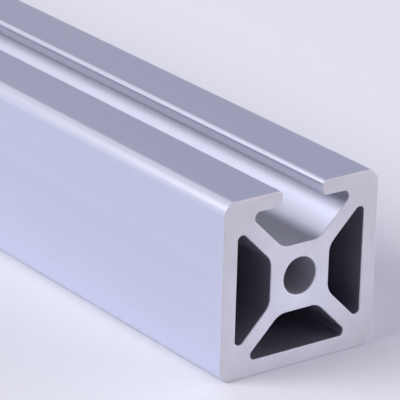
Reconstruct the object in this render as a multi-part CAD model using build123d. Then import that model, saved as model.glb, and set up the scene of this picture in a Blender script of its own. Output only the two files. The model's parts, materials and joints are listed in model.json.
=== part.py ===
from build123d import *
from math import sqrt
import os

# Slotted aluminium building profile of the 20 mm series, a bar cut square from
# extruded stock. The section is a square with one T-slot and three closed sides.
# Four diagonal webs join its corners to a square core with a round bore, and a
# hollow lies behind each closed side.
# The bar lies along X on its closed bottom side, with its T-slot on top. Its origin
# is the centre of the bottom side, and +Z is up. Sizes are in millimetres.

# Bar
LENGTH = 300.0  # cut length
SIZE = 20.0  # width and height of the section
CORNER_RADIUS = 1.4  # the four long outer edges

# Core and webs
BORE_DIAMETER = 4.2  # core bore, the tapping size of an M5 thread
CORE_WALL = 1.7  # between the bore and each hollow
WEB = 1.8  # thickness of the diagonal webs

# Closed sides
WALL = 1.8  # thickness of the three closed sides

# T-slot
SLOT_OPENING = 5.2  # gap between the two lips
LIP = 1.7  # thickness of the lips
LIP_RADIUS = 0.5  # long edges of the lips, on both sides of the gap
UNDERCUT_HEIGHT = 0.95  # upright side between a lip and the web below it
UNDERCUT_RADIUS = 0.65  # corners at both ends of that upright side
SLOT_FLOOR = 1.55  # between the bore and the slot's floor

# Closed hollows
TIP_HEIGHT = 0.83  # upright side between a closed side and a web
TIP_RADIUS = 0.5  # corners at both ends of that upright side

# Hollows and T-slot alike
ROOT_RADIUS = 2.0  # where a web meets the core
CORNER_LIMIT = 0.7  # largest corner radius on an upright side, as a share of its height


def flank(height):
    """Half the gap between two webs at 45 degrees, at a height above the section's centre."""
    return height - WEB / sqrt(2)


def cavity_side(inner, outer, upright):
    """Right side of a hollow or slot between two heights, from the outside in, with its upright side."""
    tip = outer - upright
    return [(flank(tip), outer), (flank(tip), tip), (flank(inner), inner)]


def cavity_radii(upright, radius):
    """Radius of each corner of a cavity's right side. A low upright side makes its two corners tighter."""
    fitting = min(radius, CORNER_LIMIT * upright)
    return [fitting, fitting, ROOT_RADIUS]


def symmetric_face(points, radii):
    """Face inside an outline given by its right half, with a corner radius for each point."""
    left = [(-y, z) for y, z in reversed(points)]
    return make_face(FilletPolyline(*points, *left, radius=radii + radii[::-1], close=True))


def slotted_square():
    """Square with rounded corners and the T-slot cut in from its top side."""
    half = SIZE / 2
    gap = SLOT_OPENING / 2
    outside = [(half, -half), (half, half), (gap, half), (gap, half - LIP)]
    outside_radii = [CORNER_RADIUS, CORNER_RADIUS, LIP_RADIUS, LIP_RADIUS]
    slot = cavity_side(BORE_DIAMETER / 2 + SLOT_FLOOR, half - LIP, UNDERCUT_HEIGHT)
    slot_radii = cavity_radii(UNDERCUT_HEIGHT, UNDERCUT_RADIUS)
    return symmetric_face(outside + slot, outside_radii + slot_radii)


def hollow():
    """Hollow behind a closed side, drawn as if that side were the top."""
    side = cavity_side(BORE_DIAMETER / 2 + CORE_WALL, SIZE / 2 - WALL, TIP_HEIGHT)
    return symmetric_face(side, cavity_radii(TIP_HEIGHT, TIP_RADIUS))


def section():
    """The bar's cross-section, centred on its bore, with the T-slot upwards."""
    face = slotted_square() - Circle(BORE_DIAMETER / 2)
    for turn in (90, 180, 270):
        face -= Rot(0, 0, turn) * hollow()
    return face


def profile():
    """The bar: the section carried along X, half of the length each way, and lying on the origin."""
    across = Plane(origin=(0, 0, SIZE / 2), x_dir=(0, 1, 0), z_dir=(1, 0, 0))
    return extrude(across * section(), amount=LENGTH / 2, both=True)


os.makedirs("parts", exist_ok=True)
export_step(profile(), "parts/extruded_profile.step")
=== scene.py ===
import json
import math

import bmesh
import bpy
import numpy as np
from bpy.props import FloatProperty, FloatVectorProperty, PointerProperty
from bpy.types import Operator, Panel, PropertyGroup
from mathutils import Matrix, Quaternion, Vector


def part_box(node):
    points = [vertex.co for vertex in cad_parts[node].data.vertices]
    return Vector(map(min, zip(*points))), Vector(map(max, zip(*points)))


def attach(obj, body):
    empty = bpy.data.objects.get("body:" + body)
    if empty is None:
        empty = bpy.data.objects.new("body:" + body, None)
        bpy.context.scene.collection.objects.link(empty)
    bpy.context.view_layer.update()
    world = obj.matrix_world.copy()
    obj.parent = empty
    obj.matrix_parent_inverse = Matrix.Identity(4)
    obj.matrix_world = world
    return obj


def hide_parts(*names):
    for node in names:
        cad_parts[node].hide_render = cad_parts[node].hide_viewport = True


bl_info = {
    "name": "Slotted profile dresser",
    "version": (1, 0, 0),
    "blender": (4, 5, 0),
    "location": "3D View > Sidebar > Profile",
    "description": "Builds the finished look of a sawn, anodised aluminium profile and its studio stage",
    "category": "Object",
}

NODE = "extruded_profile"
BODY = "root"
MM = 0.001

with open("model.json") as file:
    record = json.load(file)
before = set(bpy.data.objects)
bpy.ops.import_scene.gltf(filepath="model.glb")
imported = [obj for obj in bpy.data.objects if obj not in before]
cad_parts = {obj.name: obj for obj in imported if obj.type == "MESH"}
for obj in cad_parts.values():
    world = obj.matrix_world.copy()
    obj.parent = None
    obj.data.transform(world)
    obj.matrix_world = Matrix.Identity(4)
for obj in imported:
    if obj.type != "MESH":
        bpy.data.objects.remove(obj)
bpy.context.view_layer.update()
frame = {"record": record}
BAR_LOW, BAR_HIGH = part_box(NODE)
SAWN_END = Vector((BAR_HIGH.x, 0, (BAR_LOW.z + BAR_HIGH.z) / 2))  # centre of the end that the camera sees
MOUNTS = {mount["name"]: mount for mount in frame["record"]["mounts"]}
BORE_DIAMETER = 2 * MOUNTS["core_bore"]["dims"]["r_mm"] * MM

# Mesh
OUTLINE_STEPS = 15  # points on each rounded corner of the section
BORE_STEPS = 96  # points round the bore
ARRIS_STEPS = 5  # points across the rounding of a sawn edge
RINGS = 24  # rings of points along the straight of the bar
SAWN_DEPTH = 0.2 * MM  # faces this near to an end are the saw's: the cut and its rounded edges
SKIN, SLOT_WALL, BORE_WALL, HOLLOW_WALL, SAWN_FACE = range(5)  # the bar's material slots

# Corners of the outer outline, by their number in the walk round it
LIP_TOPS = 2, 11  # the lips' top edges, right and left
UNDERCUT_TOPS = [4, 9]
ONTO_FLANKS = [5, 7]  # from the right undercut and from the slot's floor
OFF_FLANKS = [6, 8]  # to the slot's floor and to the left undercut
FLANK = "flank"  # the mesh's attribute that says how far a point belongs to a flank

# Finishes
DRAWN_OUT = 400  # how many times longer than wide the marks of the die are
NOISE_MIDDLE = {"From Min": 0.25, "From Max": 0.75}  # nearly all of a noise's values
SKIN_TONES = {**NOISE_MIDDLE, "To Min": 0.985, "To Max": 1.015}
WALL_TONES = {**NOISE_MIDDLE, "To Min": 0.95, "To Max": 1.03}
SAWN_TONES = {**NOISE_MIDDLE, "To Min": 0.96, "To Max": 1.03}
SATIN_SPREAD = 0.01  # how far the skin's roughness varies each way
SKIN_LINES = {"Strength": 0.12, "Distance": 0.004 * MM}  # relief of the die lines outside
SKIN_GRAIN = {"Strength": 0.2, "Distance": 0.004 * MM}  # relief of the etch's grain
WALL_LINES = {"Strength": 0.4, "Distance": 0.006 * MM}  # relief of the die lines inside
SAW_MARKS = {"Strength": 0.5, "Distance": 0.016 * MM}  # relief of the teeth's marks
CLOUD_SIZE = 3.0 * MM  # broad unevenness of a sawn face
GLOW_HEIGHT, GLOW_REACH = 0.38, 0.62  # centre of the painted glow on a sawn end, and its reach, by the bar's width
MIX_LOW, MIX_HIGH, MIXED = 6, 7, 2  # a Mix node's sockets for colours: two inputs and the output

# Stage
LAMP_DISTANCE = 2.4
LAMPS = {  # bearing and elevation in degrees, width and height in metres, colour
    "key_lamp": (252.4, 35.6, (1.81, 1.22), "#FFFEFE"),
    "fill_lamp": (63.7, 17.6, (3.41, 1.39), "#FFF9FF"),
    "back_lamp": (181.7, 36.4, (1.92, 1.37), "#FFFDF3"),
    "edge_lamp": (217.6, 6.9, (1.64, 0.55), "#FFFCF3"),
}
CAMERA_PLACE = SAWN_END + Vector((0.23883, -0.19128, 0.12746))
CAMERA_TARGET = SAWN_END + Vector((-0.00853, -0.00685, 0.00703))


def linear(hex_colour):
    """Linear RGB of an sRGB colour written as a hex number, by the sRGB standard's own formula."""
    srgb = np.array([int(hex_colour[i:i + 2], 16) for i in (1, 3, 5)]) / 255
    low = srgb / 12.92
    high = ((srgb + 0.055) / 1.055) ** 2.4
    return tuple(np.where(srgb <= 0.04045, low, high).tolist())


def length_property(name, description, default):
    """A length in metres that the panel shows in the scene's own unit."""
    return FloatProperty(name=name, description=description, default=default,
                         min=0, precision=5, subtype="DISTANCE", unit="LENGTH")


def colour_property(name, description, hex_colour):
    """A colour whose default is written as an sRGB hex value."""
    return FloatVectorProperty(name=name, description=description, default=linear(hex_colour),
                               min=0, max=1, size=3, subtype="COLOR")


def power_property(name, description, default):
    """A lamp's power in watts."""
    return FloatProperty(name=name, description=description, default=default, min=0, unit="POWER")


def share_property(name, description, default):
    """A number from 0 to 1."""
    return FloatProperty(name=name, description=description, default=default,
                         min=0, max=1, subtype="FACTOR")


class ProfileSection(PropertyGroup):
    """Sizes of the bar's section, the same as the solid's."""

    corner_radius: length_property("Corner radius", "Long outer edges", 1.4 * MM)
    core_wall: length_property("Core wall", "Metal between the bore and each hollow", 1.7 * MM)
    web: length_property("Web", "Thickness of the diagonal webs", 1.8 * MM)
    wall: length_property("Wall", "Thickness of the closed sides", 1.8 * MM)
    tip_height: length_property("Tip height", "Upright side of a hollow", 0.83 * MM)
    tip_radius: length_property("Tip radius", "Corners of that upright side", 0.5 * MM)
    slot_opening: length_property("Slot opening", "Gap between the lips", 5.2 * MM)
    lip: length_property("Lip", "Thickness of the lips", 1.7 * MM)
    lip_radius: length_property("Lip radius", "Long edges of the lips", 0.5 * MM)
    undercut_height: length_property("Undercut height", "Upright side below a lip", 0.95 * MM)
    undercut_radius: length_property("Undercut radius", "Corners of that upright side", 0.65 * MM)
    slot_floor: length_property("Slot floor", "Metal between the bore and the slot", 1.55 * MM)
    root_radius: length_property("Root radius", "Where a web meets the core", 2.0 * MM)


class ProfileEnds(PropertyGroup):
    """How the bar was sawn off."""

    arris: length_property("Arris", "Rounding that deburring left on the sawn edges", 0.11 * MM)
    arris_waver: share_property("Arris waver", "How far that rounding varies along an edge", 0.35)
    blade_radius: length_property("Blade radius", "Radius of the saw blade's marks", 150 * MM)
    blade_height: length_property("Blade height", "How high the blade's axle stood", 20 * MM)
    tooth_pitch: length_property("Tooth pitch", "Distance from one saw mark to the next", 0.35 * MM)


class ProfileFinish(PropertyGroup):
    """Colours and grain of the metal."""

    skin_colour: colour_property("Skin", "Natural anodised skin", "#DFE3F4")
    skin_roughness: share_property("Skin roughness", "Satin left by the etch", 0.31)
    die_line_spacing: length_property("Die line spacing", "Fine lines along the bar", 0.3 * MM)
    streak_spacing: length_property("Streak spacing", "Broad streaks along the bar", 2.4 * MM)
    etch_grain: length_property("Etch grain", "Fine grain of the etched metal", 0.16 * MM)
    slot_colour: colour_property("Slot", "Duller skin of the slot's flanks", "#DBDEED")
    slot_roughness: share_property("Slot roughness", "Blur of the slot's flanks, and of the bore", 0.57)
    # The slot floor's colour is painted shade: greyer than the flanks because the slot's floor and
    # undercuts lie in shade.
    painted_shade_floor_colour: colour_property("Slot floor", "Greyer skin of the slot's floor and undercuts", "#D5D3D3")
    tip_roughness: share_property("Slot floor roughness", "Blur of the slot's floor and undercuts", 0.33)
    bore_colour: colour_property("Bore", "Greyer skin of the bore", "#E3E3EA")
    hollow_colour: colour_property("Hollows", "Grey metal inside the closed hollows", "#C0C0CC")
    hollow_roughness: share_property("Hollow roughness", "Blur of the closed hollows", 0.5)
    # Core and rim colours make a painted glow: brighter about the core and painted shade towards the rim,
    # over the bare metal's own duller, less blue tone.
    painted_glow_core_colour: colour_property("Sawn core", "Bare metal of the sawn ends, at the core", "#E8EAF3")
    painted_shade_rim_colour: colour_property("Sawn rim", "Bare metal of the sawn ends, at the rim", "#DAD9DE")
    sawn_roughness: share_property("Sawn roughness", "Blur of the bare metal", 0.78)


class ProfileStage(PropertyGroup):
    """Floor, lamps and camera."""

    floor_colour: colour_property("Floor", "Plain pale floor", "#DEDFE6")
    floor_width: length_property("Floor width", "Side of the square floor", 16.0)
    key_power: power_property("Key lamp", "Wide soft lamp on the bar's left", 55.4)
    fill_power: power_property("Fill lamp", "Wide low lamp on the right, before the sawn end", 49.2)
    back_power: power_property("Back lamp", "High soft lamp behind the bar", 3.6)
    edge_power: power_property("Edge lamp", "Low soft strip behind the bar, on its left", 1.17)
    room_strength: FloatProperty(name="Room light", description="Soft light from the room, on average",
                                 default=0.385, min=0)
    room_slope: FloatVectorProperty(name="Room slope",
                                    description="How far the room light grows along X, Y and Z",
                                    default=(-0.11, 0.075, 0.0), size=3, subtype="XYZ")
    room_colour: colour_property("Room colour", "Cool tint of the room light", "#EAE8FC")
    lens: FloatProperty(name="Lens", description="Focal length in mm on a 36 mm sensor",
                        default=287.3, min=1, unit="CAMERA")
    roll: FloatProperty(name="Roll", description="Turn of the camera about its line of sight",
                        default=math.radians(1.669), subtype="ANGLE")


# Shape of the bar


def rounded(corners, radii, steps):
    """Closed outline of a polygon whose corners are replaced by arcs that touch both sides.

    At each corner, a and b are unit arrows towards the corners before and after it, and h is half of the
    angle between them. The arc's centre lies on the arrow a + b at radius / sin(h) from the corner, and its
    ends lie radius / tan(h) along the sides. Its points turn evenly from the first end's arrow s to the
    last end's arrow e, through the angle t = 180 degrees - 2h: at share k of the arc the arrow is
    (s sin((1 - k) t) + e sin(k t)) / sin(t).

    The metal is on the left of the walk. Returns the points and the unit arrows that point out of the
    metal there, as arrays of (y, z).
    """
    corners = np.array(corners, float)
    radii = np.array(radii, float)[:, None]
    before = np.roll(corners, 1, axis=0) - corners
    after = np.roll(corners, -1, axis=0) - corners
    a = before / np.linalg.norm(before, axis=1, keepdims=True)
    b = after / np.linalg.norm(after, axis=1, keepdims=True)
    half = np.arccos(np.clip((a * b).sum(axis=1, keepdims=True), -1, 1)) / 2
    middle = (a + b) / np.linalg.norm(a + b, axis=1, keepdims=True)
    centre = corners + middle * radii / np.sin(half)
    s = (corners + a * radii / np.tan(half) - centre) / radii
    e = (corners + b * radii / np.tan(half) - centre) / radii
    t = (math.pi - 2 * half)[:, None]
    k = np.linspace(0, 1, steps)[None, :, None]
    arrow = (s[:, None] * np.sin((1 - k) * t) + e[:, None] * np.sin(k * t)) / np.sin(t)
    points = centre[:, None] + arrow * radii[:, None]
    turn = np.sign(b[:, 0] * a[:, 1] - b[:, 1] * a[:, 0])[:, None, None]
    return points.reshape(-1, 2), (arrow * turn).reshape(-1, 2)


def circle(radius, steps):
    """Round hole: a point at angle t is the radius times (cos t, -sin t), so the metal is on the left."""
    t = np.linspace(0, 2 * math.pi, steps, endpoint=False)
    ray = np.column_stack([np.cos(t), -np.sin(t)])
    return ray * radius, -ray


def cavity_corners(inner, outer, upright, web):
    """Right side of a hollow or slot between two heights above the core's centre, from outside to inside.

    Two webs at 45 degrees leave half a gap of height - web / sqrt(2) at each height.
    """
    tip = outer - upright
    gap = np.array([tip, tip, inner]) - web / math.sqrt(2)
    return np.column_stack([gap, [outer, tip, inner]])


def mirrored(right):
    """A polygon from its right half, walked on down the left half."""
    return np.vstack([right, right[::-1] * [-1, 1]])


def section_loops(section, width):
    """The section's outlines about the bore's centre: outer edge with the slot, three hollows, bore."""
    half = width / 2
    bore = BORE_DIAMETER / 2
    gap = section.slot_opening / 2
    slot = cavity_corners(bore + section.slot_floor, half - section.lip,
                          section.undercut_height, section.web)
    outside = [(half, -half), (half, half), (gap, half), (gap, half - section.lip)]
    edge = [section.corner_radius] * 2 + [section.lip_radius] * 2
    edge += [section.undercut_radius] * 2 + [section.root_radius]
    loops = [rounded(mirrored(np.vstack([outside, slot])), edge + edge[::-1], OUTLINE_STEPS)]
    side = cavity_corners(bore + section.core_wall, half - section.wall,
                          section.tip_height, section.web)
    hollow = mirrored(side)
    round_off = [section.tip_radius] * 2 + [section.root_radius]
    points, arrows = rounded(hollow, round_off + round_off[::-1], OUTLINE_STEPS)
    for quarter in (1, 2, 3):
        angle = quarter * math.pi / 2
        turn = np.array([[math.cos(angle), math.sin(angle)], [-math.sin(angle), math.cos(angle)]])
        loops.append((points @ turn, arrows @ turn))
    loops.append(circle(bore, BORE_STEPS))
    return loops


def waver(points, mean, share):
    """A width that varies along a closed outline by a share of its mean, as a hand-held file leaves it.

    It is the mean of three sine waves of the way round, with whole numbers of waves, so it closes.
    """
    steps = np.linalg.norm(np.roll(points, -1, axis=0) - points, axis=1)
    way = np.concatenate([[0], np.cumsum(steps)[:-1]])
    wave_lengths = np.array([9.0, 4.3, 1.9]) * MM
    counts = np.maximum(1, np.round(steps.sum() / wave_lengths))
    phases = [0.0, 1.7, 4.1]
    waves = np.sin(2 * math.pi * counts * way[:, None] / steps.sum() + phases)
    return mean * (1 + share * waves.mean(axis=1))


def swept_wall(points, arrows, ends, half_length, height):
    """Wall of the bar round one outline, with softened sawn edges, as a grid of points and arrows.

    One parameter goes round the outline and the other along the bar. Near an end, at angle t from 0 to 90
    degrees, a point lies r (1 - sin t) short of the end and r (1 - cos t) into the metal, where r is the
    sawn edge's rounding there, and its arrow is cos t outwards and sin t along the bar.
    """
    t = np.linspace(0, math.pi / 2, ARRIS_STEPS)
    r = waver(points, ends.arris, ends.arris_waver)[:, None]
    along = np.linspace(-1, 1, RINGS + 2)[1:-1]
    tilt = np.concatenate([-t[::-1], np.zeros(len(along)), t])
    sign = np.concatenate([-np.ones(len(t)), np.zeros(len(along)), np.ones(len(t))])
    straight = np.concatenate([np.zeros(len(t)), along * half_length, np.zeros(len(t))])
    x = sign * (half_length - r * (1 - np.sin(np.abs(tilt)))) + straight
    inset = r * (1 - np.cos(tilt)) * np.abs(sign)
    yz = points[:, None] - arrows[:, None] * inset[..., None] + [0, height]
    grid = np.concatenate([x[..., None], yz], axis=2)
    outward = arrows[:, None] * np.cos(tilt)[None, :, None]
    lengthwise = np.broadcast_to(np.sin(tilt), x.shape)[..., None]
    return grid, np.concatenate([lengthwise, outward], axis=2)


def grid_quads(around, along, first):
    """Faces of a grid that closes on itself in its first direction, as rows of four point numbers."""
    i = np.arange(around)[:, None]
    j = np.arange(along - 1)[None, :]
    on = (i + 1) % around
    corners = [i * along + j, on * along + j, on * along + j + 1, i * along + j + 1]
    return first + np.stack(corners, axis=2).reshape(-1, 4)


def bar_mesh(section, ends):
    """The whole bar as one closed mesh: the walls of its five outlines and the two sawn faces."""
    width = BAR_HIGH.y - BAR_LOW.y
    half_length = (BAR_HIGH.x - BAR_LOW.x) / 2
    height = (BAR_HIGH.z + BAR_LOW.z) / 2
    walls = [swept_wall(*loop, ends, half_length, height) for loop in section_loops(section, width)]
    grids, arrows = zip(*walls)
    starts = np.cumsum([0] + [grid.shape[0] * grid.shape[1] for grid in grids])
    quads = [grid_quads(*grid.shape[:2], start) for grid, start in zip(grids, starts)]
    places = np.concatenate([grid.reshape(-1, 3) for grid in grids])
    arrows = np.concatenate([wall_arrows.reshape(-1, 3) for wall_arrows in arrows])
    mesh = bpy.data.meshes.new("profile_bar")
    mesh.from_pydata(places.tolist(), [], np.concatenate(quads).tolist())
    mesh.polygons.foreach_set("material_index", wall_finishes(grids))
    close_ends(mesh, half_length)
    mesh.attributes.new(FLANK, "FLOAT", "POINT").data.foreach_set("value", flank_share(grids))
    mesh.shade_smooth()
    mesh.normals_split_custom_set_from_vertices(arrows.tolist())
    return mesh


def wall_finishes(grids):
    """Material slot of each wall face: the skin outside, then the walls of the slot, hollows and bore.

    The slot goes from the last point of the right lip's top edge to the first point of the left one's.
    """
    finishes = [np.full((grid.shape[0], grid.shape[1] - 1), HOLLOW_WALL) for grid in grids]
    outside, bore = finishes[0], finishes[-1]
    right_lip, left_lip = LIP_TOPS
    outside[:] = SKIN
    outside[(right_lip + 1) * OUTLINE_STEPS - 1:left_lip * OUTLINE_STEPS] = SLOT_WALL
    bore[:] = BORE_WALL
    return np.concatenate([finish.ravel() for finish in finishes]).astype(np.int32)


def flank_share(grids):
    """How far each point belongs to the slot's flanks: 1 there, 0 on its floor and in its undercuts.

    Round the arc from one to the other it changes in even steps. All other points count as flanks.
    """
    share = np.ones(len(grids[0])).reshape(-1, OUTLINE_STEPS)
    rise = np.linspace(0, 1, OUTLINE_STEPS)
    share[UNDERCUT_TOPS] = 0
    share[ONTO_FLANKS] = rise
    share[OFF_FLANKS] = 1 - rise
    shares = [share.ravel()] + [np.ones(len(grid)) for grid in grids[1:]]
    return np.concatenate([np.repeat(one, grid.shape[1]) for one, grid in zip(shares, grids)])


def close_ends(mesh, half_length):
    """Fills each end between the outer edge, the hollows and the bore, and marks what the saw cut."""
    solid = bmesh.new()
    solid.from_mesh(mesh)
    for sign in (-1, 1):
        rim = [edge for edge in solid.edges if edge.is_boundary and edge.verts[0].co.x * sign > 0]
        bmesh.ops.triangle_fill(solid, edges=rim, use_beauty=True, normal=(sign, 0, 0))
    solid.to_mesh(mesh)
    solid.free()
    centres = np.empty(len(mesh.polygons) * 3)
    finishes = np.empty(len(mesh.polygons), np.int32)
    mesh.polygons.foreach_get("center", centres)
    mesh.polygons.foreach_get("material_index", finishes)
    finishes[np.abs(centres[::3]) > half_length - SAWN_DEPTH] = SAWN_FACE
    mesh.polygons.foreach_set("material_index", finishes)


# Materials


def add_node(tree, kind, settings=None, inputs=None):
    """Adds a node with its own settings. An input is a value, or another node's output to link."""
    node = tree.nodes.new(kind)
    for name, value in (settings or {}).items():
        setattr(node, name, value)
    for name, value in (inputs or {}).items():
        if isinstance(value, bpy.types.NodeSocket):
            tree.links.new(value, node.inputs[name])
        else:
            node.inputs[name].default_value = value
    return node


def new_material(name):
    """An empty node material and its tree."""
    material = bpy.data.materials.new(name)
    material.use_nodes = True
    material.node_tree.nodes.clear()
    return material, material.node_tree


def drawn_noise(tree, place, spacing, detail):
    """Noise drawn out along the bar, as a die leaves its marks."""
    stretched = add_node(tree, "ShaderNodeMapping", inputs={
        "Vector": place, "Scale": (1 / spacing / DRAWN_OUT, 1 / spacing, 1 / spacing)})
    noise = add_node(tree, "ShaderNodeTexNoise", inputs={
        "Vector": stretched.outputs["Vector"], "Scale": 1.0, "Detail": detail, "Roughness": 0.6})
    return noise.outputs["Fac"]


def anodised_skin(finish):
    """Natural anodised aluminium: extruded, etched to a satin in caustic soda, then anodised clear.

    The eye sees a soft, slightly cool metal sheen with a fine even grain from the etch, and faint lines
    and broader streaks that the die drew along the bar.
    """
    material, tree = new_material("anodised_extruded_aluminium")
    place = add_node(tree, "ShaderNodeTexCoord").outputs["Object"]
    # Real die lines are about 0.1 mm apart, and the etch's grain is about 0.05 mm. Both are drawn three
    # times as coarse, so that they show.
    lines = drawn_noise(tree, place, finish.die_line_spacing, detail=2.0)
    streaks = drawn_noise(tree, place, finish.streak_spacing, detail=1.0)
    grain = add_node(tree, "ShaderNodeTexNoise", inputs={
        "Vector": place, "Scale": 1 / finish.etch_grain, "Detail": 1.0})
    tone = add_node(tree, "ShaderNodeMapRange", inputs={"Value": streaks, **SKIN_TONES})
    colour = add_node(tree, "ShaderNodeVectorMath", {"operation": "SCALE"}, {
        0: finish.skin_colour[:], "Scale": tone.outputs["Result"]})
    line_relief = add_node(tree, "ShaderNodeBump", inputs={**SKIN_LINES, "Height": lines})
    relief = add_node(tree, "ShaderNodeBump", inputs={
        **SKIN_GRAIN, "Height": grain.outputs["Fac"], "Normal": line_relief.outputs["Normal"]})
    satin = add_node(tree, "ShaderNodeMapRange", inputs={
        "Value": streaks, **NOISE_MIDDLE, "To Min": finish.skin_roughness - SATIN_SPREAD,
        "To Max": finish.skin_roughness + SATIN_SPREAD})
    shader = add_node(tree, "ShaderNodeBsdfPrincipled", inputs={
        "Base Color": colour.outputs["Vector"], "Metallic": 1.0,
        "Roughness": satin.outputs["Result"], "Normal": relief.outputs["Normal"]})
    add_node(tree, "ShaderNodeOutputMaterial", inputs={"Surface": shader.outputs["BSDF"]})
    return material


def inner_wall(name, finish, colour, roughness, tip=None):
    """Aluminium formed inside the die, against its tongue or mandrel, where the etch is uneven.

    The eye sees a duller, greyer metal than outside, with stronger lines along the bar. In the slot, the
    tongue's flat tip leaves the floor smoother than the flanks, so it mirrors the dark undercuts. The floor
    and undercuts are also painted greyer, as painted shade where the slot's recess lies in shade. The tip
    is that floor's painted shade colour and its roughness.
    """
    material, tree = new_material(name)
    place = add_node(tree, "ShaderNodeTexCoord").outputs["Object"]
    lines = drawn_noise(tree, place, finish.die_line_spacing, detail=2.0)
    streaks = drawn_noise(tree, place, finish.streak_spacing, detail=1.0)
    relief = add_node(tree, "ShaderNodeBump", inputs={**WALL_LINES, "Height": lines})
    if tip:
        painted_shade_floor_colour, tip_roughness = tip
        flank = add_node(tree, "ShaderNodeAttribute", {"attribute_name": FLANK}).outputs["Fac"]
        # Off the flanks the colour turns to painted shade, for the shaded floor and undercuts of the slot.
        colour = add_node(tree, "ShaderNodeMix", {"data_type": "RGBA"}, {
            "Factor": flank, MIX_LOW: (*painted_shade_floor_colour, 1), MIX_HIGH: (*colour, 1)}).outputs[MIXED]
        roughness = add_node(tree, "ShaderNodeMapRange", inputs={
            "Value": flank, "To Min": tip_roughness, "To Max": roughness}).outputs["Result"]
    tone = add_node(tree, "ShaderNodeMapRange", inputs={"Value": streaks, **WALL_TONES})
    shade = add_node(tree, "ShaderNodeVectorMath", {"operation": "SCALE"}, {
        0: colour, "Scale": tone.outputs["Result"]})
    shader = add_node(tree, "ShaderNodeBsdfPrincipled", inputs={
        "Base Color": shade.outputs["Vector"], "Metallic": 1.0,
        "Roughness": roughness, "Normal": relief.outputs["Normal"]})
    add_node(tree, "ShaderNodeOutputMaterial", inputs={"Surface": shader.outputs["BSDF"]})
    return material


def sawn_face(finish, ends):
    """Bare aluminium, cut square by a circular saw and deburred.

    The eye sees a duller, less blue metal than the skin, with faint shallow arcs left by the teeth. Its
    colour is painted brighter about the core and darker towards the rim, as a painted glow of light.
    """
    material, tree = new_material("sawn_bare_aluminium")
    place = add_node(tree, "ShaderNodeTexCoord").outputs["Object"]
    # The blade's axle stood on the bar's right, so the marks are arcs about it.
    about_blade = add_node(tree, "ShaderNodeMapping", inputs={
        "Vector": place, "Location": (0, -ends.blade_radius, -ends.blade_height)})
    # A wave texture's rings are pi / 10 apart at scale 1. Real tooth marks are about 0.1 mm apart, and
    # these are drawn coarser so that they show.
    marks = add_node(tree, "ShaderNodeTexWave", {"wave_type": "RINGS", "rings_direction": "X"}, {
        "Vector": about_blade.outputs["Vector"], "Scale": math.pi / 10 / ends.tooth_pitch,
        "Distortion": 2.0, "Detail": 2.0, "Detail Scale": 0.6})
    # A painted glow of light: the sawn face's colour is brighter about a point above the core and darker
    # towards the rim.
    # A sphere's gradient falls from 1 at its centre to 0 at a radius of 1.
    reach = (BAR_HIGH.y - BAR_LOW.y) * GLOW_REACH
    centre = BAR_LOW.z + (BAR_HIGH.z - BAR_LOW.z) * GLOW_HEIGHT
    about_core = add_node(tree, "ShaderNodeMapping", inputs={
        "Vector": place, "Location": (0, 0, -centre / reach),
        "Scale": (0, 1 / reach, 1 / reach)})
    painted_glow = add_node(tree, "ShaderNodeTexGradient", {"gradient_type": "SPHERICAL"}, {
        "Vector": about_core.outputs["Vector"]})
    bare = add_node(tree, "ShaderNodeMix", {"data_type": "RGBA"}, {
        "Factor": painted_glow.outputs["Fac"], MIX_LOW: (*finish.painted_shade_rim_colour, 1),
        MIX_HIGH: (*finish.painted_glow_core_colour, 1)})
    cloud = add_node(tree, "ShaderNodeTexNoise", inputs={
        "Vector": place, "Scale": 1 / CLOUD_SIZE, "Detail": 3.0})
    tone = add_node(tree, "ShaderNodeMapRange", inputs={"Value": cloud.outputs["Fac"], **SAWN_TONES})
    colour = add_node(tree, "ShaderNodeVectorMath", {"operation": "SCALE"}, {
        0: bare.outputs[MIXED], "Scale": tone.outputs["Result"]})
    relief = add_node(tree, "ShaderNodeBump", inputs={**SAW_MARKS, "Height": marks.outputs["Fac"]})
    shader = add_node(tree, "ShaderNodeBsdfPrincipled", inputs={
        "Base Color": colour.outputs["Vector"], "Metallic": 1.0,
        "Roughness": finish.sawn_roughness, "Normal": relief.outputs["Normal"]})
    add_node(tree, "ShaderNodeOutputMaterial", inputs={"Surface": shader.outputs["BSDF"]})
    return material


def floor_board(stage):
    """Smooth painted board, matt all over, so that the eye sees only its pale colour and the shadow."""
    material, tree = new_material("matt_painted_board")
    shader = add_node(tree, "ShaderNodeBsdfPrincipled", inputs={
        "Base Color": (*stage.floor_colour, 1), "Roughness": 1.0, "Specular IOR Level": 0.0})
    add_node(tree, "ShaderNodeOutputMaterial", inputs={"Surface": shader.outputs["BSDF"]})
    return material


# Stage


def aim(thing, place, target, roll=0.0):
    """Puts a lamp or camera at a place, looking at a target, turned by roll about its line of sight."""
    look = (Vector(target) - Vector(place)).to_track_quat("-Z", "Y")
    thing.rotation_mode = "QUATERNION"
    thing.location = place
    thing.rotation_quaternion = look @ Quaternion((0, 0, 1), roll)


def add_panel_lamp(name, power, bearing, elevation, sides, colour):
    """A soft rectangular lamp that faces the sawn end, unseen by the camera but reflected by the metal.

    The bearing is counted in degrees from +X towards +Y, and the elevation up from the floor, both as seen
    from the sawn end.
    """
    lamp = bpy.data.lights.new(name, "AREA")
    lamp.shape = "RECTANGLE"
    lamp.size, lamp.size_y = sides
    lamp.energy = power
    lamp.color = linear(colour)
    thing = bpy.data.objects.new(name, lamp)
    thing.visible_camera = False
    bpy.context.scene.collection.objects.link(thing)
    turn, rise = math.radians(bearing), math.radians(elevation)
    way = Vector((math.cos(rise) * math.cos(turn), math.cos(rise) * math.sin(turn), math.sin(rise)))
    aim(thing, SAWN_END + way * LAMP_DISTANCE, SAWN_END)


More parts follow.
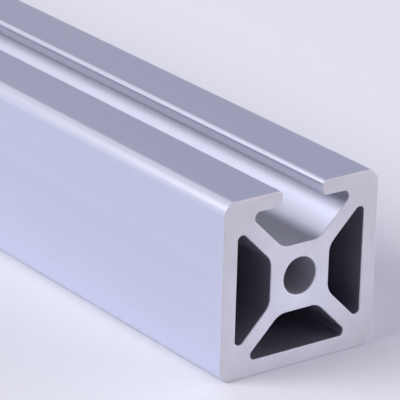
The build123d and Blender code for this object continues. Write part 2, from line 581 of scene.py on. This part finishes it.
def add_camera(stage):
    """The camera, at the photograph's viewing angle. It looks at the sawn end's upper left corner."""
    camera = bpy.data.cameras.new("camera")
    camera.lens = stage.lens
    camera.sensor_width = 36
    camera.clip_start = 0.01
    thing = bpy.data.objects.new("camera", camera)
    bpy.context.scene.collection.objects.link(thing)
    aim(thing, CAMERA_PLACE, CAMERA_TARGET, stage.roll)
    bpy.context.scene.camera = thing


def add_floor(stage):
    """A level square floor that the bar lies on."""
    half = stage.floor_width / 2
    mesh = bpy.data.meshes.new("floor")
    corners = [(-half, -half, 0), (half, -half, 0), (half, half, 0), (-half, half, 0)]
    mesh.from_pydata(corners, [], [(0, 1, 2, 3)])
    mesh.materials.append(floor_board(stage))
    floor = bpy.data.objects.new("floor", mesh)
    bpy.context.scene.collection.objects.link(floor)


def light_room(stage):
    """Soft light from all sides, which grows from the camera's side of the room to the far one.

    From the direction d its strength is the average plus the slope times d, as a dot product.
    """
    world = bpy.data.worlds.new("room")
    world.use_nodes = True
    tree = world.node_tree
    direction = add_node(tree, "ShaderNodeTexCoord").outputs["Generated"]
    growth = add_node(tree, "ShaderNodeVectorMath", {"operation": "DOT_PRODUCT"}, {
        0: direction, 1: stage.room_slope[:]})
    strength = add_node(tree, "ShaderNodeMath", {"operation": "ADD"}, {
        0: growth.outputs["Value"], 1: stage.room_strength})
    background = tree.nodes["Background"]
    background.inputs["Color"].default_value = (*stage.room_colour, 1)
    tree.links.new(strength.outputs["Value"], background.inputs["Strength"])
    bpy.context.scene.world = world


# Operators and panel


class PROFILE_OT_bar(Operator):
    """Build the sawn bar and give it its five finishes"""

    bl_idname = "profile.bar"
    bl_label = "Profile bar"

    def execute(self, context):
        scene = context.scene
        mesh = bar_mesh(scene.profile_section, scene.profile_ends)
        finish = scene.profile_finish
        mesh.materials.append(anodised_skin(finish))
        mesh.materials.append(inner_wall(
            "tongue_formed_anodised_aluminium", finish, finish.slot_colour, finish.slot_roughness,
            (finish.painted_shade_floor_colour, finish.tip_roughness)))
        mesh.materials.append(inner_wall(
            "mandrel_formed_anodised_aluminium", finish, finish.bore_colour, finish.slot_roughness))
        mesh.materials.append(inner_wall(
            "mandrel_formed_bare_aluminium", finish, finish.hollow_colour, finish.hollow_roughness))
        mesh.materials.append(sawn_face(finish, scene.profile_ends))
        bar = bpy.data.objects.new("profile_bar", mesh)
        scene.collection.objects.link(bar)
        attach(bar, BODY)
        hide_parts(NODE)
        return {"FINISHED"}


class PROFILE_OT_stage(Operator):
    """Set up the floor, the soft lamps and the camera"""

    bl_idname = "profile.stage"
    bl_label = "Stage"

    def execute(self, context):
        stage = context.scene.profile_stage
        add_floor(stage)
        light_room(stage)
        powers = stage.key_power, stage.fill_power, stage.back_power, stage.edge_power
        for name, power in zip(LAMPS, powers):
            add_panel_lamp(name, power, *LAMPS[name])
        add_camera(stage)
        context.scene.view_settings.view_transform = "Standard"
        return {"FINISHED"}


class PROFILE_PT_panel(Panel):
    """Lists the bar and the stage, with the sizes and colours that they are made from."""

    bl_idname = "PROFILE_PT_panel"
    bl_label = "Profile"
    bl_space_type = "VIEW_3D"
    bl_region_type = "UI"
    bl_category = "Profile"

    def draw(self, context):
        layout = self.layout
        for name in SETTINGS:
            group = getattr(context.scene, name)
            for key in group.__annotations__:
                layout.prop(group, key)
        for operator in OPERATORS:
            layout.operator(operator.bl_idname)


SETTINGS = {
    "profile_section": ProfileSection,
    "profile_ends": ProfileEnds,
    "profile_finish": ProfileFinish,
    "profile_stage": ProfileStage,
}
OPERATORS = (PROFILE_OT_bar, PROFILE_OT_stage)
CLASSES = (*SETTINGS.values(), *OPERATORS, PROFILE_PT_panel)


def register():
    """Registers the classes and hangs the settings on the scene."""
    for item in CLASSES:
        bpy.utils.register_class(item)
    for name, group in SETTINGS.items():
        setattr(bpy.types.Scene, name, PointerProperty(type=group))


def unregister():
    """Takes away what register added, in reverse."""
    for name in SETTINGS:
        delattr(bpy.types.Scene, name)
    for item in reversed(CLASSES):
        bpy.utils.unregister_class(item)


def main():
    """Builds everything."""
    register()
    bpy.ops.profile.bar()
    bpy.ops.profile.stage()


if __name__ == "__main__":
    main()
